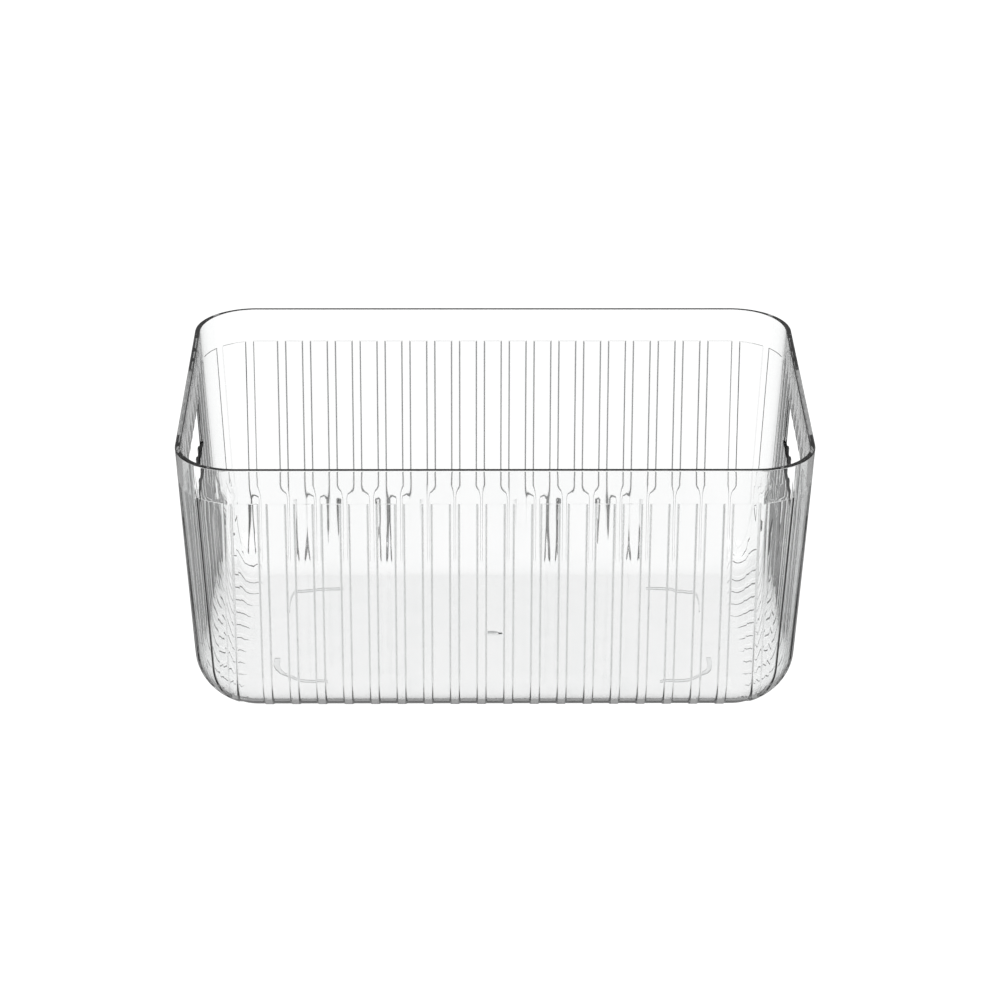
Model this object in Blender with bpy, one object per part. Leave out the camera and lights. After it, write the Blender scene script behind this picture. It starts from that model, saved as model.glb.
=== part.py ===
"""Clear ribbed fridge bin: one moulded tub with a grip slot in each end wall, on four corner feet.

Metres, +Z up, origin under the middle of the base.  Long side along X, end walls at -X and +X.
"""

import math

import bmesh
import bpy
from mathutils import Matrix, Vector

# Overall size
LENGTH = 0.305            # along X, over the rim
WIDTH = 0.203             # along Y, over the rim
HEIGHT = 0.140            # floor of the fridge to the rim
DRAFT = 0.0498            # inward run of every wall for each unit of drop
CORNER_RADIUS = 0.030     # upright corners, in plan
BASE_RADIUS = 0.028       # where the walls turn into the floor

# Walls
WALL = 0.0026             # thickness at the rim band and at a rib
FLOOR = 0.0024
RECESS = 0.0007           # depth of the panels between the ribs
BAND_HEIGHT = 0.0178      # plain band under the rim
PANEL_FOOT = 0.0010       # height over the base where a panel runs out
CORNER_FOOT = 0.0050      # the same for the panels beside and round the upright corners

# Ribs, flush with the band
RIB_WIDTH = 0.0043
RIB_PITCH = 0.01294
LONG_WALL_RIBS = 18
END_WALL_RIBS = 10
CORNER_RIB_OFFSET = 0.0043    # from where a corner starts to the middle of the last rib beside it

# Grip slots
SLOT_LENGTH = 0.083
SLOT_HEIGHT = 0.026
SLOT_DROP = 0.0225        # rim to the top of the slot
SLOT_RADIUS = 0.005

# Feet and the gate dimple between them
FOOT_WIDTH = 0.0016
FOOT_HEIGHT = 0.0008
FOOT_ARM = 0.027          # from the foot's outer corner to the end of each arm
FOOT_RADIUS = 0.020
FOOT_SPAN_X = 0.218       # over opposite feet
FOOT_SPAN_Y = 0.106
SEAT_GAP = 0.0003
GATE_RADIUS = 0.0022
GATE_DEPTH = 0.0004

# Facets
CORNER_STEPS = 8
BASE_STEPS = 6
FOOT_STEPS = 6
GATE_STEPS = 16
OVERSHOOT = 0.010         # how far a cutter runs past what it cuts

BASE_Z = FOOT_HEIGHT + SEAT_GAP
BAND_Z = HEIGHT - BAND_HEIGHT
PANEL_Z = BASE_Z + PANEL_FOOT
CORNER_PANEL_Z = BASE_Z + CORNER_FOOT


def new_collection(name):
    collection = bpy.data.collections.new(name)
    bpy.context.scene.collection.children.link(collection)
    return collection


def new_material(name, colour, roughness, alpha):
    material = bpy.data.materials.new(name)
    material.use_nodes = True
    shader = material.node_tree.nodes["Principled BSDF"]
    shader.inputs["Base Color"].default_value = (*colour, 1.0)
    shader.inputs["Roughness"].default_value = roughness
    shader.inputs["Metallic"].default_value = 0.0
    shader.inputs["Alpha"].default_value = alpha
    return material


def new_object(name, bm, collection, material=None):
    mesh = bpy.data.meshes.new(name)
    bmesh.ops.recalc_face_normals(bm, faces=bm.faces)
    bm.to_mesh(mesh)
    bm.free()
    if material:
        mesh.materials.append(material)
        mesh.shade_smooth()
        mesh.set_sharp_from_angle(angle=math.radians(25))
    obj = bpy.data.objects.new(name, mesh)
    collection.objects.link(obj)
    return obj


def hide_cutter(obj):
    obj.hide_render = True
    obj.display_type = "WIRE"
    return obj


def add_box(bm, low, high):
    """A box between two corners; returns its vertices."""
    size = Vector(high) - Vector(low)
    middle = (Vector(high) + Vector(low)) / 2
    made = bmesh.ops.create_cube(bm, size=1.0, matrix=Matrix.Translation(middle) @ Matrix.Diagonal((*size, 1.0)))
    return made["verts"]


def tub_form(inset, base_z, top_z):
    """The bin's outer form as a solid, with every wall drawn in by inset."""
    bm = bmesh.new()
    half_x, half_y = LENGTH / 2 - inset, WIDTH / 2 - inset
    for vert in add_box(bm, (-half_x, -half_y, base_z), (half_x, half_y, top_z)):
        run = DRAFT * (HEIGHT - vert.co.z)
        vert.co.x -= math.copysign(run, vert.co.x)
        vert.co.y -= math.copysign(run, vert.co.y)

    upright = [e for e in bm.edges if abs(e.verts[0].co.z - e.verts[1].co.z) > HEIGHT / 2]
    bmesh.ops.bevel(bm, geom=upright, offset=CORNER_RADIUS - inset, segments=CORNER_STEPS,
                    profile=0.5, affect="EDGES", clamp_overlap=False)
    lowest = [e for e in bm.edges if all(abs(v.co.z - base_z) < 1e-6 for v in e.verts)]
    bmesh.ops.bevel(bm, geom=lowest, offset=BASE_RADIUS - inset, segments=BASE_STEPS,
                    profile=0.5, affect="EDGES", clamp_overlap=False)
    return bm


def rib_centres(count):
    return [(i - (count - 1) / 2) * RIB_PITCH for i in range(count)]


def panel_gaps(count, outermost):
    """Low and high end of each panel along a wall, between ribs centred up to +-outermost."""
    ribs = [-outermost] + rib_centres(count) + [outermost]
    return [(a + RIB_WIDTH / 2, b - RIB_WIDTH / 2) for a, b in zip(ribs, ribs[1:])]


def wall_panel_cutter(name, ribs, tangent, face, turn, collection):
    """A block for each panel of two opposite walls, which are turned by turn from the +Y wall."""
    bm = bmesh.new()
    gaps = panel_gaps(ribs, tangent + CORNER_RIB_OFFSET)
    for side in (turn, turn + 180):
        spin = Matrix.Rotation(math.radians(side), 3, "Z")
        for start, end in gaps:
            beside_corner = (start, end) in (gaps[0], gaps[-1])
            foot = CORNER_PANEL_Z if beside_corner else PANEL_Z
            verts = add_box(bm, (start, face - CORNER_RADIUS, foot), (end, face + OVERSHOOT, BAND_Z))
            bmesh.ops.transform(bm, matrix=spin, verts=verts)
    return hide_cutter(new_object(name, bm, collection))


def corner_panel_cutter(name, centre_x, centre_y, collection):
    """Two blocks at each upright corner, on either side of the rib on its diagonal."""
    bm = bmesh.new()
    low = (CORNER_RIB_OFFSET + RIB_WIDTH / 2, 0.0, CORNER_PANEL_Z)
    high = (CORNER_RADIUS, CORNER_RADIUS + OVERSHOOT, BAND_Z)
    diagonal = RIB_WIDTH / 2 * math.sqrt(2)
    for sign_x, sign_y in ((1, 1), (-1, 1), (-1, -1), (1, -1)):
        for swapped in (False, True):
            for vert in add_box(bm, low, high):
                along, out = vert.co.x, vert.co.y
                if out < diagonal:
                    out = along + diagonal
                if swapped:
                    along, out = out, along
                vert.co.x = sign_x * (centre_x + along)
                vert.co.y = sign_y * (centre_y + out)
    return hide_cutter(new_object(name, bm, collection))


def panel_cutters(collection, core):
    """The blocks that sink the panels, each hollowed by the core so that it stops at the recess."""
    centre_x, centre_y = LENGTH / 2 - CORNER_RADIUS, WIDTH / 2 - CORNER_RADIUS
    made = (
        wall_panel_cutter("long_wall_panels", LONG_WALL_RIBS, centre_x, WIDTH / 2, 0, collection),
        wall_panel_cutter("end_wall_panels", END_WALL_RIBS, centre_y, LENGTH / 2, 90, collection),
        corner_panel_cutter("corner_panels", centre_x, centre_y, collection),
    )
    for cutter in made:
        add_boolean(cutter, core, "DIFFERENCE")
    return made


def slot_cutter(name, sign_x, collection):
    """A bar with rounded corners that runs through one end wall."""
    bm = bmesh.new()
    top = HEIGHT - SLOT_DROP
    middle = LENGTH / 2
    low_x, high_x = sorted((sign_x * (middle - 2 * OVERSHOOT), sign_x * (middle + OVERSHOOT)))
    add_box(bm, (low_x, -SLOT_LENGTH / 2, top - SLOT_HEIGHT), (high_x, SLOT_LENGTH / 2, top))
    along = [e for e in bm.edges if abs(e.verts[0].co.x - e.verts[1].co.x) > OVERSHOOT]
    bmesh.ops.bevel(bm, geom=along, offset=SLOT_RADIUS, segments=4, profile=0.5, affect="EDGES")
    return hide_cutter(new_object(name, bm, collection))


def gate_cutter(collection):
    """The shallow dimple left under the middle of the floor by the mould's gate."""
    bm = bmesh.new()
    depth = GATE_DEPTH + OVERSHOOT
    bmesh.ops.create_cone(bm, cap_ends=True, segments=GATE_STEPS, radius1=GATE_RADIUS, radius2=GATE_RADIUS,
                          depth=depth, matrix=Matrix.Translation((0, 0, BASE_Z + GATE_DEPTH - depth / 2)))
    return hide_cutter(new_object("gate_cutter", bm, collection))


def add_boolean(obj, operand, operation):
    modifier = obj.modifiers.new(operand.name, "BOOLEAN")
    modifier.operation = operation
    modifier.solver = "EXACT"
    modifier.object = operand


def make_bin_body(parts, cutters, material):
    body = new_object("bin_body", tub_form(0.0, BASE_Z, HEIGHT), parts, material)
    core = hide_cutter(new_object("panel_core", tub_form(RECESS, BASE_Z, HEIGHT + OVERSHOOT), cutters))
    cavity = hide_cutter(new_object("cavity", tub_form(WALL, BASE_Z + FLOOR, HEIGHT + OVERSHOOT), cutters))
    for cutter in panel_cutters(cutters, core):
        add_boolean(body, cutter, "DIFFERENCE")
    add_boolean(body, cavity, "DIFFERENCE")
    add_boolean(body, slot_cutter("left_slot_cutter", -1, cutters), "DIFFERENCE")
    add_boolean(body, slot_cutter("right_slot_cutter", 1, cutters), "DIFFERENCE")
    add_boolean(body, gate_cutter(cutters), "DIFFERENCE")
    return body


def foot_path(radius):
    """Points in plan from the end of one arm, round the corner, to the end of the other."""
    axis_x, axis_y = FOOT_SPAN_X / 2 - FOOT_RADIUS, FOOT_SPAN_Y / 2 - FOOT_RADIUS
    arm = FOOT_ARM - FOOT_RADIUS
    points = [(axis_x + radius, axis_y - arm)]
    for step in range(FOOT_STEPS + 1):
        angle = math.pi / 2 * step / FOOT_STEPS
        points.append((axis_x + radius * math.cos(angle), axis_y + radius * math.sin(angle)))
    points.append((axis_x - arm, axis_y + radius))
    return points


def make_foot(name, sign_x, sign_y, parts, material):
    """An L-shaped strip: a quarter turn with a straight arm at each end."""
    outline = foot_path(FOOT_RADIUS) + foot_path(FOOT_RADIUS - FOOT_WIDTH)[::-1]
    curve = bpy.data.curves.new(name, "CURVE")
    curve.dimensions = "2D"
    curve.fill_mode = "BOTH"
    curve.extrude = FOOT_HEIGHT / 2
    curve.materials.append(material)
    spline = curve.splines.new("POLY")
    spline.points.add(len(outline) - 1)
    for point, (x, y) in zip(spline.points, outline):
        point.co = (sign_x * x, sign_y * y, 0.0, 1.0)
    spline.use_cyclic_u = True
    foot = bpy.data.objects.new(name, curve)
    foot.location.z = FOOT_HEIGHT / 2
    parts.objects.link(foot)
    return foot


def main():
    for obj in list(bpy.data.objects):
        bpy.data.objects.remove(obj, do_unlink=True)
    parts = new_collection("fridge_bin")
    cutters = new_collection("cutters")
    clear_plastic = new_material("clear_plastic", (0.93, 0.95, 0.95), 0.05, 0.25)
    make_bin_body(parts, cutters, clear_plastic)
    for back, sign_y in (("front", -1), ("back", 1)):
        for side, sign_x in (("left", -1), ("right", 1)):
            foot_plastic = new_material(f"foot_plastic_{back}_{side}", (0.90, 0.92, 0.92), 0.12, 0.35)
            make_foot(f"foot_{back}_{side}", sign_x, sign_y, parts, foot_plastic)


main()
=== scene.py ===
import math

import bmesh
import bpy
from mathutils import Matrix, Vector


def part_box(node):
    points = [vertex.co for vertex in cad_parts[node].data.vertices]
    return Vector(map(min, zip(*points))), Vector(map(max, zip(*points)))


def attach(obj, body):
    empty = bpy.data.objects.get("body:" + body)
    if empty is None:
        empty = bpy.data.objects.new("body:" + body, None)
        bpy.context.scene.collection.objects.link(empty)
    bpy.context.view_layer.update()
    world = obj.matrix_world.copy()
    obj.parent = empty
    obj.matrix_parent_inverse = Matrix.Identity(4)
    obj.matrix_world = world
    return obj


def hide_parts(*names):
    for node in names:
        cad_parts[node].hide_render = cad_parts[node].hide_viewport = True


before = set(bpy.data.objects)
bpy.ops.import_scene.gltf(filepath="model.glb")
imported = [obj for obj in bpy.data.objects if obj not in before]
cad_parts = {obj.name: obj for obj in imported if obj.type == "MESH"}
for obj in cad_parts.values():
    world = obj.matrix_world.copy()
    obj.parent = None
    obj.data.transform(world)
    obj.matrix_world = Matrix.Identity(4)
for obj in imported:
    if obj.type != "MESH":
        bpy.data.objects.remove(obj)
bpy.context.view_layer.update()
binLow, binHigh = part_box("bin_body")
print("frame loaded")


# selecting and cutting in edit mode

def clearSelection():
    if bpy.context.object and bpy.context.object.mode != "OBJECT":
        bpy.ops.object.mode_set(mode="OBJECT")
    bpy.ops.object.select_all(action="DESELECT")


def makeActive(*pieces):
    clearSelection()
    for piece in pieces:
        piece.select_set(True)
    bpy.context.view_layer.objects.active = pieces[0]


def pick(piece, kind, test):
    # selects the vertices, edges or faces that pass the test; the piece is in edit mode
    bpy.ops.mesh.select_mode(type=kind)
    bpy.ops.mesh.select_all(action="DESELECT")
    mesh = bmesh.from_edit_mesh(piece.data)
    items = {"VERT": mesh.verts, "EDGE": mesh.edges, "FACE": mesh.faces}[kind]
    for item in items:
        if test(item):
            item.select_set(True)
    mesh.select_flush_mode()
    bmesh.update_edit_mesh(piece.data)


def middle(face):
    return face.calc_center_median()


mergeUnder = 0.000002


def sliceAt(piece, test, point, normal):
    # cuts the faces that pass the test along one plane
    pick(piece, "FACE", test)
    bpy.ops.mesh.bisect(plane_co=point, plane_no=normal, threshold=mergeUnder)


def applyModifier(piece, kind, **settings):
    makeActive(piece)
    modifier = piece.modifiers.new(kind.title(), kind)
    for key, value in settings.items():
        setattr(modifier, key, value)
    bpy.ops.object.modifier_apply(modifier=modifier.name)


# camera, floor and light

shot = {
    "place": (-0.0133, -1.6502, 0.8504),
    "pitch": 25.10,       # degrees down
    "yaw": 0.567,         # towards +X
    "roll": 0.206,
    "lens": 130.9,
    "sensor": 36,
    "reach": 100,
}

studio = {
    "floorSize": 60.0,
    "white": (1.0, 1.0, 1.0),
    "floorGlow": 1.12,
    "skyGlow": 1.0,
    "reflected": 0.34,    # how bright the room is in one reflection
    "darkest": 0.30,      # and after many
    "aim": (0, 0, 0.06),  # what the lamps point at
}

lamps = {
    "keySoftbox": {"place": (-0.9, -0.5, 1.3), "size": (0.9, 0.6), "power": 3.0},
    "fillSoftbox": {"place": (1.1, -0.3, 1.0), "size": (0.6, 0.9), "power": 1.5},
}


def reflectionDimmer(tree):
    # white seen straight or through the plastic, darker after each reflection, as between black flags
    nodes, links = tree.nodes, tree.links
    path = nodes.new("ShaderNodeLightPath")
    dim = nodes.new("ShaderNodeMath")
    dim.operation = "POWER"
    dim.inputs[0].default_value = studio["reflected"]
    links.new(path.outputs["Glossy Depth"], dim.inputs[1])
    least = nodes.new("ShaderNodeMath")
    least.operation = "MAXIMUM"
    least.inputs[1].default_value = studio["darkest"]
    links.new(dim.outputs[0], least.inputs[0])
    return least.outputs[0]


def makeFloor():
    clearSelection()
    bpy.ops.mesh.primitive_plane_add(size=studio["floorSize"], location=(0, 0, 0))
    floor = bpy.context.object
    floor.name = "studioFloor"
    material = bpy.data.materials.new("paleFloor")
    material.use_nodes = True
    nodes, links = material.node_tree.nodes, material.node_tree.links
    nodes.clear()
    out = nodes.new("ShaderNodeOutputMaterial")
    glow = nodes.new("ShaderNodeEmission")
    glow.inputs["Color"].default_value = (*studio["white"], 1)
    strength = nodes.new("ShaderNodeMath")
    strength.operation = "MULTIPLY"
    strength.inputs[1].default_value = studio["floorGlow"]
    links.new(reflectionDimmer(material.node_tree), strength.inputs[0])
    links.new(strength.outputs[0], glow.inputs["Strength"])
    links.new(glow.outputs[0], out.inputs["Surface"])
    floor.data.materials.append(material)


def makeWorld():
    world = bpy.data.worlds.new("softRoom")
    world.use_nodes = True
    bpy.context.scene.world = world
    nodes, links = world.node_tree.nodes, world.node_tree.links
    glow = nodes["Background"]
    glow.inputs["Color"].default_value = (*studio["white"], 1)
    strength = nodes.new("ShaderNodeMath")
    strength.operation = "MULTIPLY"
    strength.inputs[1].default_value = studio["skyGlow"]
    links.new(reflectionDimmer(world.node_tree), strength.inputs[0])
    links.new(strength.outputs[0], glow.inputs["Strength"])


def makeLamp(name, place, size, power):
    lamp = bpy.data.lights.new(name, "AREA")
    lamp.shape = "RECTANGLE"
    lamp.size, lamp.size_y = size
    lamp.energy = power
    holder = bpy.data.objects.new(name, lamp)
    holder.location = place
    aim = Vector(studio["aim"]) - Vector(place)
    holder.rotation_euler = aim.to_track_quat("-Z", "Y").to_euler()
    bpy.context.scene.collection.objects.link(holder)
    holder.visible_camera = False


def makeCamera():
    camera = bpy.data.objects.new("camera", bpy.data.cameras.new("camera"))
    camera.data.lens = shot["lens"]
    camera.data.sensor_width = shot["sensor"]
    camera.data.clip_end = shot["reach"]
    camera.location = shot["place"]
    turn = (Matrix.Rotation(math.radians(-shot["yaw"]), 3, "Z")
            @ Matrix.Rotation(math.radians(90 - shot["pitch"]), 3, "X")
            @ Matrix.Rotation(math.radians(shot["roll"]), 3, "Z"))
    camera.rotation_euler = turn.to_euler()
    bpy.context.scene.collection.objects.link(camera)
    bpy.context.scene.camera = camera


bpy.context.scene.view_settings.view_transform = "Standard"
makeCamera()
makeFloor()
makeWorld()
for lampName, lampSet in lamps.items():
    makeLamp(lampName, lampSet["place"], lampSet["size"], lampSet["power"])
print("camera, floor and light made")


# the moulded tub

tub = {
    "draft": 0.0498,         # inward run of a wall for each unit of drop
    "cornerRadius": 0.030,
    "baseRadius": 0.028,
    "wall": 0.0026,
    "floor": 0.0024,
    "cornerSteps": 18,
    "baseSteps": 14,
    "rimRound": 0.0006,
    "rimSteps": 4,
    "smoothAngle": 40,
    "flatWeight": 80,        # how much a large face counts in the smoothing
}

ribs = {
    "bandHeight": 0.0178,    # plain band over the ribs
    "pitch": 0.01294,
    "width": 0.0043,
    "longCount": 18,
    "endCount": 10,
    "cornerOffset": 0.0043,  # last rib beyond the start of a corner
    "cornerReach": 0.008,    # the diagonal's lines are cut this far before the corner starts
    "recess": 0.0007,        # depth of the panels between the ribs
    "sideRun": 0.00080,      # width of a panel's sloping side
    "sideSteps": 5,
    "paintedSideShade": 0.00025,         # painted shade on the side reaches this far past it, both ways
    "cornerPaintedShade": 0.35,      # and the painted shade is fainter round the corners
    "paintedShadeFade": (0.008, 0.036),    # the painted shade fades in over the base, from none to full
    "foot": 0.0010,          # over the base, where the panels end
    "footRun": 0.010,        # over which they run out, round the base
}

sinks = {
    "depth": 0.00020,        # how far the inner face sinks in behind a rib
    "spread": 0.0017,
    "fade": 0.0090,          # run-out above the ribs
    "fadeSteps": 6,
    "stepsPerPitch": 8,
    "clearOfFloor": 0.15,    # of the base radius
}

cornerX = binHigh.x - tub["cornerRadius"]
cornerY = binHigh.y - tub["cornerRadius"]


def tubShell(name, inset, baseZ, radiusLoss):
    # an open drafted tub with rounded uprights and a rounded base, every wall drawn in by inset
    clearSelection()
    height = binHigh.z - baseZ
    size = (2 * (binHigh.x - inset), 2 * (binHigh.y - inset), height)
    bpy.ops.mesh.primitive_cube_add(size=1, location=(0, 0, baseZ + height / 2), scale=size)
    shell = bpy.context.object
    shell.name = name
    bpy.ops.object.transform_apply(location=True, rotation=True, scale=True)
    bpy.ops.object.mode_set(mode="EDIT")
    pick(shell, "VERT", lambda v: v.co.z < baseZ + height / 2)
    run = tub["draft"] * height
    shrink = (1 - 2 * run / size[0], 1 - 2 * run / size[1], 1)
    bpy.ops.transform.resize(value=shrink, center_override=(0, 0, baseZ))
    pick(shell, "FACE", lambda f: f.normal.z > 0.9)
    bpy.ops.mesh.delete(type="ONLY_FACE")
    pick(shell, "EDGE", lambda e: abs(e.verts[0].co.z - e.verts[1].co.z) > height / 2)
    bpy.ops.mesh.bevel(offset=tub["cornerRadius"] - radiusLoss, segments=tub["cornerSteps"],
                       profile=0.5, affect="EDGES", clamp_overlap=False)
    pick(shell, "EDGE", lambda e: max(v.co.z for v in e.verts) < baseZ + 0.00001)
    bpy.ops.mesh.bevel(offset=tub["baseRadius"] - radiusLoss, segments=tub["baseSteps"],
                       profile=0.5, affect="EDGES", clamp_overlap=False)
    bpy.ops.object.mode_set(mode="OBJECT")
    return shell


def ribCentres(count, last):
    # the evenly spaced ribs of a wall, and the one at each end beside the corner
    even = [(i - (count - 1) / 2) * ribs["pitch"] for i in range(count)]
    return [-last] + even + [last]


def facesLong(item):
    return abs(item.normal.y) > abs(item.normal.x)


nearlyDown = -0.999    # the normal's z on the flat underside is lower
nearlyUp = 0.9         # and on level faces over the base it is higher


def onWall(face):
    return nearlyDown < face.normal.z < nearlyUp


def arcAngle(over):
    # how far round the rounded base a height over the base lies
    return math.acos(max(0.0, 1 - over / tub["baseRadius"]))


sideRuns = [ribs["sideRun"] * i / ribs["sideSteps"] for i in range(ribs["sideSteps"] + 1)]
# the cuts reach past each side to where its painted shade ends
cutRuns = [-ribs["paintedSideShade"]] + sideRuns + [ribs["sideRun"] + ribs["paintedSideShade"]]
landHalf = (ribs["width"] - ribs["sideRun"]) / 2
bandZ = binHigh.z - ribs["bandHeight"] + ribs["sideRun"] / 2
longRibs = ribCentres(ribs["longCount"], cornerX + ribs["cornerOffset"])
endRibs = ribCentres(ribs["endCount"], cornerY + ribs["cornerOffset"])


def soften(part):
    # from 0 to 1 with a rounded start and a rounded end
    part = min(1, max(0, part))
    return part * part * (3 - 2 * part)


def cutRibLines(shell):
    # an edge along each facet of the panels' sides: up the walls, on the diagonals and under the band
    makeActive(shell)
    bpy.ops.object.mode_set(mode="EDIT")
    sliceAt(shell, onWall, (0, 0, bandZ), (0, 0, 1))

    def longUnderBand(face):
        return onWall(face) and facesLong(face) and middle(face).z < bandZ

    def endUnderBand(face):
        return onWall(face) and not facesLong(face) and middle(face).z < bandZ

    for centres, test, axis in ((longRibs, longUnderBand, 0), (endRibs, endUnderBand, 1)):
        normal = (1, 0, 0) if axis == 0 else (0, 1, 0)
        for centre in centres:
            for run in cutRuns:
                for side in (-1, 1):
                    at = centre + side * (landHalf + run)
                    sliceAt(shell, test, (at, at, 0), normal)
    print("rib lines cut")
    for signX in (-1, 1):
        for signY in (-1, 1):
            across = Vector((signX, -signY, 0)).normalized()
            corner = Vector((signX * cornerX, signY * cornerY, 0))

            def atCorner(face):
                at = middle(face)
                return (onWall(face) and at.z < bandZ and signX * at.x > cornerX - ribs["cornerReach"]
                        and signY * at.y > cornerY - ribs["cornerReach"])

            for run in cutRuns:
                for side in (-1, 1):
                    sliceAt(shell, atCorner, corner + across * side * (landHalf + run), across)
    for run in sideRuns:
        sliceAt(shell, onWall, (0, 0, bandZ - run), (0, 0, 1))
    bpy.ops.object.mode_set(mode="OBJECT")
    print("corner and band lines cut")


def sinkPanels(shell):
    # moves the panels in with a rounded side, lets them run out at the foot, and stores painted shade on
    # the sides, standing in for the dark lines they show
    paintedSideShade = shell.data.attributes.new("ribSidePaintedShade", "FLOAT", "POINT")
    moves = []
    footAngle = arcAngle(ribs["foot"])
    for vert in shell.data.vertices:
        at = vert.co
        if at.z > bandZ or vert.normal.z < nearlyDown:
            continue
        centres, along = (longRibs, at.x) if facesLong(vert) else (endRibs, at.y)
        fromRib = min(abs(along - centre) for centre in centres)
        fromDiagonal = abs((abs(at.x) - cornerX) - (abs(at.y) - cornerY)) / math.sqrt(2)
        over = at.z - binLow.z
        fromFoot = tub["baseRadius"] * (arcAngle(over) - footAngle)
        if over > tub["baseRadius"]:
            fromFoot = tub["baseRadius"]
        fromSide = min(fromRib, fromDiagonal) - landHalf
        fromBand = bandZ - at.z
        deep = soften(min(fromSide, fromBand) / ribs["sideRun"])
        moves.append((vert, vert.normal * ribs["recess"] * deep * soften(fromFoot / ribs["footRun"])))
        # painted shade on the sides: darkest mid-slope, reaching a little past it both ways, fainter round
        # the corners and fading in over the base
        part = (fromSide + ribs["paintedSideShade"]) / (ribs["sideRun"] + 2 * ribs["paintedSideShade"])
        part = min(1, max(0, part))
        atCorner = abs(at.x) > cornerX and abs(at.y) > cornerY
        fadeLow, fadeHigh = ribs["paintedShadeFade"]
        strength = soften((over - fadeLow) / (fadeHigh - fadeLow)) * (ribs["cornerPaintedShade"] if atCorner else 1)
        if fromSide < fromBand:
            paintedSideShade.data[vert.index].value = 4 * part * (1 - part) * strength
    for vert, move in moves:
        vert.co -= move
    print("panels sunk")


def sinkInnerFace(shell):
    # the inner face has shallow sink marks behind the ribs, which fade out under the rim
    makeActive(shell)
    bpy.ops.object.mode_set(mode="EDIT")
    for step in range(sinks["fadeSteps"] + 1):
        level = bandZ + sinks["fade"] * step / sinks["fadeSteps"]
        sliceAt(shell, onWall, (0, 0, level), (0, 0, 1))
    top = bandZ + sinks["fade"]
    spacing = ribs["pitch"] / sinks["stepsPerPitch"]
    for centres, wanted, normal in ((longRibs, True, (1, 0, 0)), (endRibs, False, (0, 1, 0))):
        count = int((centres[-1] + ribs["pitch"] / 2) // spacing)
        for i in range(-count, count + 1):
            at = i * spacing
            sliceAt(shell, lambda f: onWall(f) and facesLong(f) == wanted and middle(f).z < top,
                    (at, at, 0), normal)
    bpy.ops.object.mode_set(mode="OBJECT")
    bottom = binLow.z + tub["floor"]
    moves = []
    for vert in shell.data.vertices:
        at = vert.co
        up = (top - at.z) / sinks["fade"]
        down = min(1, max(0, (at.z - bottom) / tub["baseRadius"] - sinks["clearOfFloor"]))
        strength = sinks["depth"] * soften(up) * down
        centres, along = (longRibs, at.x) if facesLong(vert) else (endRibs, at.y)
        near = sum(math.exp(-((along - centre) / sinks["spread"]) ** 2 / 2) for centre in centres)
        moves.append((vert, vert.normal * strength * near))
    for vert, move in moves:
        vert.co += move
    print("sink marks made")


def joinShells(outer, inner):
    # the inner shell faces inwards, and a rounded rim closes the wall
    makeActive(inner)
    bpy.ops.object.mode_set(mode="EDIT")
    bpy.ops.mesh.select_all(action="SELECT")
    bpy.ops.mesh.flip_normals()
    makeActive(outer, inner)
    bpy.ops.object.join()
    bpy.ops.object.mode_set(mode="EDIT")
    pick(outer, "EDGE", lambda e: e.is_boundary)
    bpy.ops.mesh.bridge_edge_loops()
    pick(outer, "EDGE", lambda e: min(v.co.z for v in e.verts) > binHigh.z - 0.00001
         and any(f.normal.z < 0.5 for f in e.link_faces))
    bpy.ops.mesh.bevel(offset=tub["rimRound"], segments=tub["rimSteps"], profile=0.5, affect="EDGES")
    bpy.ops.object.mode_set(mode="OBJECT")
    print("shells joined")
    return outer


slot = {
    "length": 0.083,
    "height": 0.026,
    "drop": 0.0225,          # rim to the top of the slot
    "radius": 0.005,
    "steps": 10,
    "through": 0.04,         # length of the bar that cuts it
}

gate = {"radius": 0.0022, "depth": 0.0004, "round": 0.00038, "roundSteps": 5, "steps": 48}


def cutWith(piece, tool):
    applyModifier(piece, "BOOLEAN", operation="DIFFERENCE", solver="EXACT", object=tool)
    bpy.data.objects.remove(tool, do_unlink=True)


def cutSlots(piece):
    for side in (-1, 1):
        clearSelection()
        place = (side * binHigh.x, 0, binHigh.z - slot["drop"] - slot["height"] / 2)
        bpy.ops.mesh.primitive_cube_add(size=1, location=place,
                                        scale=(slot["through"], slot["length"], slot["height"]))
        bar = bpy.context.object
        bpy.ops.object.transform_apply(location=True, rotation=True, scale=True)
        bpy.ops.object.mode_set(mode="EDIT")
        pick(bar, "EDGE", lambda e: abs(e.verts[0].co.x - e.verts[1].co.x) > slot["through"] / 2)
        bpy.ops.mesh.bevel(offset=slot["radius"], segments=slot["steps"], profile=0.5, affect="EDGES")
        bpy.ops.object.mode_set(mode="OBJECT")
        cutWith(piece, bar)
    print("slots cut")


def cutGate(piece):
    clearSelection()
    height = gate["depth"] * 3
    bpy.ops.mesh.primitive_cylinder_add(vertices=gate["steps"], radius=gate["radius"], depth=height,
                                        location=(0, 0, binLow.z + gate["depth"] - height / 2))
    pin = bpy.context.object
    bpy.ops.object.transform_apply(location=True, rotation=True, scale=True)
    bpy.ops.object.mode_set(mode="EDIT")
    pick(pin, "FACE", lambda f: f.normal.z > 0.9)
    bpy.ops.mesh.bevel(offset=gate["round"], segments=gate["roundSteps"], profile=0.5, affect="EDGES")
    bpy.ops.object.mode_set(mode="OBJECT")
    cutWith(piece, pin)


def smoothPiece(piece, angle, flatWeight):
    makeActive(piece)
    bpy.ops.object.shade_smooth_by_angle(angle=math.radians(angle))
    applyModifier(piece, "WEIGHTED_NORMAL", weight=flatWeight, keep_sharp=True)


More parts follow.
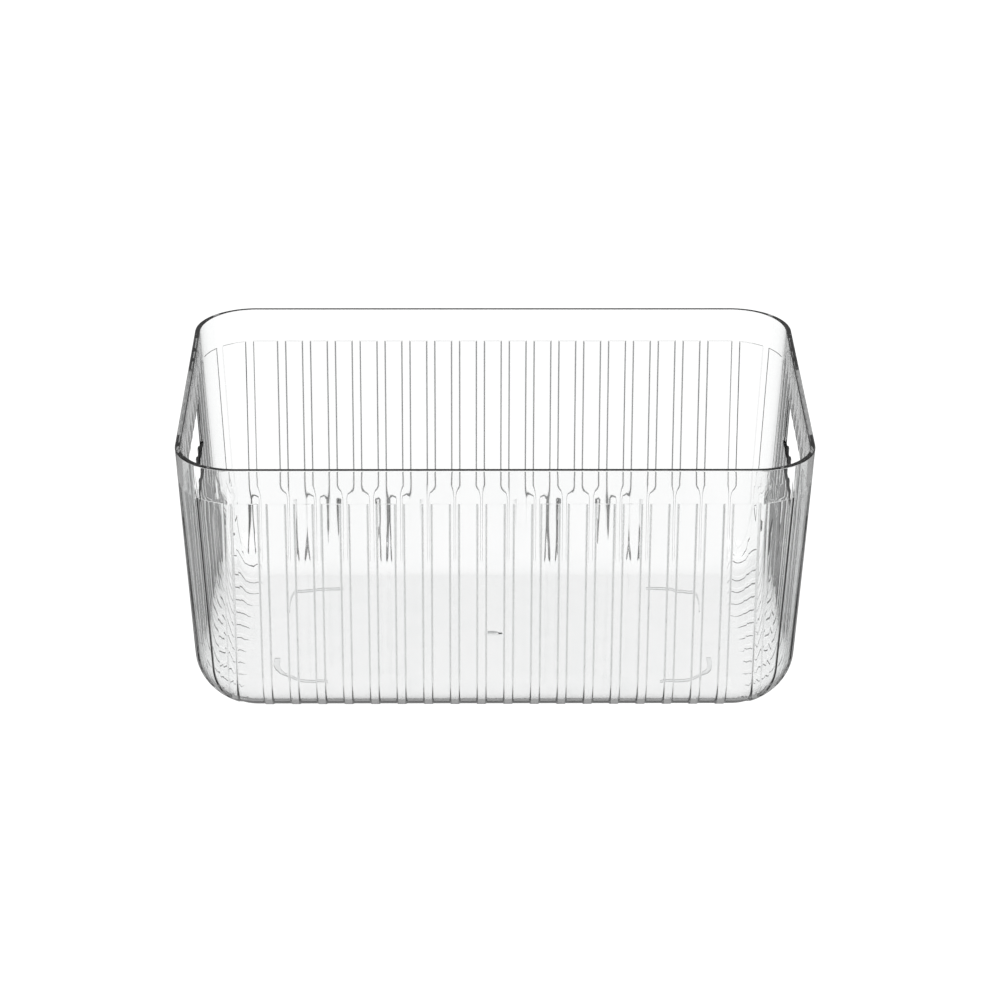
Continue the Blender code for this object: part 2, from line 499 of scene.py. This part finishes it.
def makeTub():
    outer = tubShell("clearTub", 0, binLow.z, 0)
    cutRibLines(outer)
    sinkPanels(outer)
    inner = tubShell("innerShell", tub["wall"], binLow.z + tub["floor"], tub["wall"])
    sinkInnerFace(inner)
    body = joinShells(outer, inner)
    cutSlots(body)
    cutGate(body)
    smoothPiece(body, tub["smoothAngle"], tub["flatWeight"])
    return body


def addNode(tree, kind, **settings):
    node = tree.nodes.new(kind)
    for key, value in settings.items():
        setattr(node, key, value)
    return node


def multiply(tree, first, second):
    node = addNode(tree, "ShaderNodeMath", operation="MULTIPLY")
    tree.links.new(first, node.inputs[0])
    tree.links.new(second, node.inputs[1])
    return node.outputs[0]


def ramp(tree, value, low, high):
    # 0 at low and 1 at high, with soft ends
    node = addNode(tree, "ShaderNodeMapRange", interpolation_type="SMOOTHSTEP")
    node.inputs["From Min"].default_value = low
    node.inputs["From Max"].default_value = high
    tree.links.new(value, node.inputs["Value"])
    return node.outputs["Result"]


def blendColours(tree, factor, first, second, kind="MIX"):
    # a colour is a fixed triple or another node's output
    node = addNode(tree, "ShaderNodeMix", data_type="RGBA", blend_type=kind)
    tree.links.new(factor, node.inputs["Factor"])
    for socket, colour in ((node.inputs[6], first), (node.inputs[7], second)):
        if isinstance(colour, tuple):
            socket.default_value = (*colour, 1)
        else:
            tree.links.new(colour, socket)
    return node.outputs[2]


moulding = {
    "waveDetail": 1.0,
    "flowDetail": 3.0,
    "flowStretch": (1.0, 1.0, 0.2),     # streaks run up the walls
    "flowLimits": (0.35, 0.75),
    "scuffDetail": 5.0,
    "scuffLimits": (0.5, 0.7),
}


def makeMouldedDetail():
    # what every clear moulding shows: slow waves in its surface, flow streaks, and scuffs low down
    group = bpy.data.node_groups.new("mouldedDetail", "ShaderNodeTree")
    sockets = group.interface
    sockets.new_socket(name="Place", in_out="INPUT", socket_type="NodeSocketVector")
    for name in ("Wave Scale", "Scuff Scale", "Scuff Top", "Plain Roughness", "Scuffed Roughness"):
        sockets.new_socket(name=name, in_out="INPUT", socket_type="NodeSocketFloat")
    for name in ("Flow", "Roughness", "Height"):
        sockets.new_socket(name=name, in_out="OUTPUT", socket_type="NodeSocketFloat")
    links = group.links
    given = addNode(group, "NodeGroupInput")
    out = addNode(group, "NodeGroupOutput")

    waves = addNode(group, "ShaderNodeTexNoise")
    waves.inputs["Detail"].default_value = moulding["waveDetail"]
    links.new(given.outputs["Place"], waves.inputs["Vector"])
    links.new(given.outputs["Wave Scale"], waves.inputs["Scale"])
    links.new(waves.outputs["Fac"], out.inputs["Height"])

    drawn = addNode(group, "ShaderNodeMapping")
    drawn.inputs["Scale"].default_value = moulding["flowStretch"]
    flow = addNode(group, "ShaderNodeTexNoise")
    flow.inputs["Detail"].default_value = moulding["flowDetail"]
    links.new(given.outputs["Place"], drawn.inputs["Vector"])
    links.new(drawn.outputs["Vector"], flow.inputs["Vector"])
    links.new(given.outputs["Wave Scale"], flow.inputs["Scale"])
    links.new(ramp(group, flow.outputs["Fac"], *moulding["flowLimits"]), out.inputs["Flow"])

    grit = addNode(group, "ShaderNodeTexNoise")
    grit.inputs["Detail"].default_value = moulding["scuffDetail"]
    links.new(given.outputs["Place"], grit.inputs["Vector"])
    links.new(given.outputs["Scuff Scale"], grit.inputs["Scale"])
    height = addNode(group, "ShaderNodeSeparateXYZ")
    links.new(given.outputs["Place"], height.inputs[0])
    low = addNode(group, "ShaderNodeMapRange")
    links.new(height.outputs["Z"], low.inputs["Value"])
    links.new(given.outputs["Scuff Top"], low.inputs["From Min"])
    low.inputs["From Max"].default_value = 0.0
    gritty = ramp(group, grit.outputs["Fac"], *moulding["scuffLimits"])
    scuffed = multiply(group, gritty, low.outputs["Result"])
    rough = addNode(group, "ShaderNodeMapRange")
    links.new(scuffed, rough.inputs["Value"])
    links.new(given.outputs["Plain Roughness"], rough.inputs["To Min"])
    links.new(given.outputs["Scuffed Roughness"], rough.inputs["To Max"])
    links.new(rough.outputs["Result"], out.inputs["Roughness"])
    return group


plastic = {
    "ior": 1.57,
    "bumpDepth": 0.001,
    "steep": (0.12, 0.65),              # from square on to a steep angle
    "facingBlend": 0.5,
}

bodyLook = {
    "tint": (0.995, 0.997, 0.997),
    "flowTint": (0.975, 0.981, 0.980),
    "paintedSteepShade": (0.96, 0.97, 0.97),     # painted shade at a steep angle
    "paintedSideShadeTint": (0.38, 0.39, 0.39),     # painted shade on the ribs' sides
    "gateTint": (0.55, 0.56, 0.56),
    "waveScale": 60.0,
    "waveBump": 0.06,
    "scuffScale": 900.0,
    "scuffTop": 0.0030,
    "roughness": (0.0, 0.10),           # plain and scuffed
}

footLook = {
    "tint": (0.97, 0.98, 0.98),
    "flowTint": (0.93, 0.94, 0.94),
    # painted shade at a steep angle
    "paintedSteepShade": (0.60, 0.61, 0.61),
    "waveScale": 200.0,
    "waveBump": 0.10,
    "scuffScale": 1500.0,
    "scuffTop": 0.0012,
    "roughness": (0.06, 0.35),
}


def clearPlastic(name, look, detail):
    material = bpy.data.materials.new(name)
    material.use_nodes = True
    tree = material.node_tree
    links = tree.links
    shader = tree.nodes["Principled BSDF"]
    shader.inputs["Transmission Weight"].default_value = 1.0
    shader.inputs["IOR"].default_value = plastic["ior"]
    place = addNode(tree, "ShaderNodeTexCoord")
    moulded = addNode(tree, "ShaderNodeGroup", node_tree=detail)
    links.new(place.outputs["Object"], moulded.inputs["Place"])
    moulded.inputs["Wave Scale"].default_value = look["waveScale"]
    moulded.inputs["Scuff Scale"].default_value = look["scuffScale"]
    moulded.inputs["Scuff Top"].default_value = look["scuffTop"]
    moulded.inputs["Plain Roughness"].default_value = look["roughness"][0]
    moulded.inputs["Scuffed Roughness"].default_value = look["roughness"][1]
    links.new(moulded.outputs["Roughness"], shader.inputs["Roughness"])
    bump = addNode(tree, "ShaderNodeBump")
    bump.inputs["Strength"].default_value = look["waveBump"]
    bump.inputs["Distance"].default_value = plastic["bumpDepth"]
    links.new(moulded.outputs["Height"], bump.inputs["Height"])
    links.new(bump.outputs["Normal"], shader.inputs["Normal"])

    # painted shade: darker at a steep angle on the walls, and not on the level floor
    facing = addNode(tree, "ShaderNodeLayerWeight")
    facing.inputs["Blend"].default_value = plastic["facingBlend"]
    split = addNode(tree, "ShaderNodeSeparateXYZ")
    links.new(place.outputs["Normal"], split.inputs[0])
    level = addNode(tree, "ShaderNodeMath", operation="ABSOLUTE")
    links.new(split.outputs["Z"], level.inputs[0])
    turned = ramp(tree, facing.outputs["Facing"], *plastic["steep"])
    steep = multiply(tree, turned, ramp(tree, level.outputs[0], 1, 0))
    colour = blendColours(tree, moulded.outputs["Flow"], look["tint"], look["flowTint"])
    colour = blendColours(tree, steep, colour, look["paintedSteepShade"])
    # painted shade on the ribs' sides, standing in for the dark lines their slopes show
    if "paintedSideShadeTint" in look:
        side = addNode(tree, "ShaderNodeAttribute", attribute_name="ribSidePaintedShade")
        colour = blendColours(tree, side.outputs["Fac"], colour, look["paintedSideShadeTint"], "MULTIPLY")
    if "gateTint" in look:    # cloudy round the gate, in the middle of the floor
        flat = addNode(tree, "ShaderNodeVectorMath", operation="MULTIPLY")
        flat.inputs[1].default_value = (1, 1, 0)
        away = addNode(tree, "ShaderNodeVectorMath", operation="LENGTH")
        links.new(place.outputs["Object"], flat.inputs[0])
        links.new(flat.outputs["Vector"], away.inputs[0])
        cloud = ramp(tree, away.outputs["Value"], gate["radius"], gate["radius"] / 3)
        colour = blendColours(tree, cloud, colour, look["gateTint"], "MULTIPLY")
    links.new(colour, shader.inputs["Base Color"])
    return material


mouldedDetail = makeMouldedDetail()
body = makeTub()
body.data.materials.clear()
body.data.materials.append(clearPlastic("clearPlastic", bodyLook, mouldedDetail))
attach(body, "root")
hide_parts("bin_body")
print("tub made:", len(body.data.polygons), "faces")

footPlastic = clearPlastic("footPlastic", footLook, mouldedDetail)
for nodeName in ("foot_front_left", "foot_front_right", "foot_back_left", "foot_back_right"):
    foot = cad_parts[nodeName]
    foot.data.materials.clear()
    foot.data.materials.append(footPlastic)
print("plastic made")
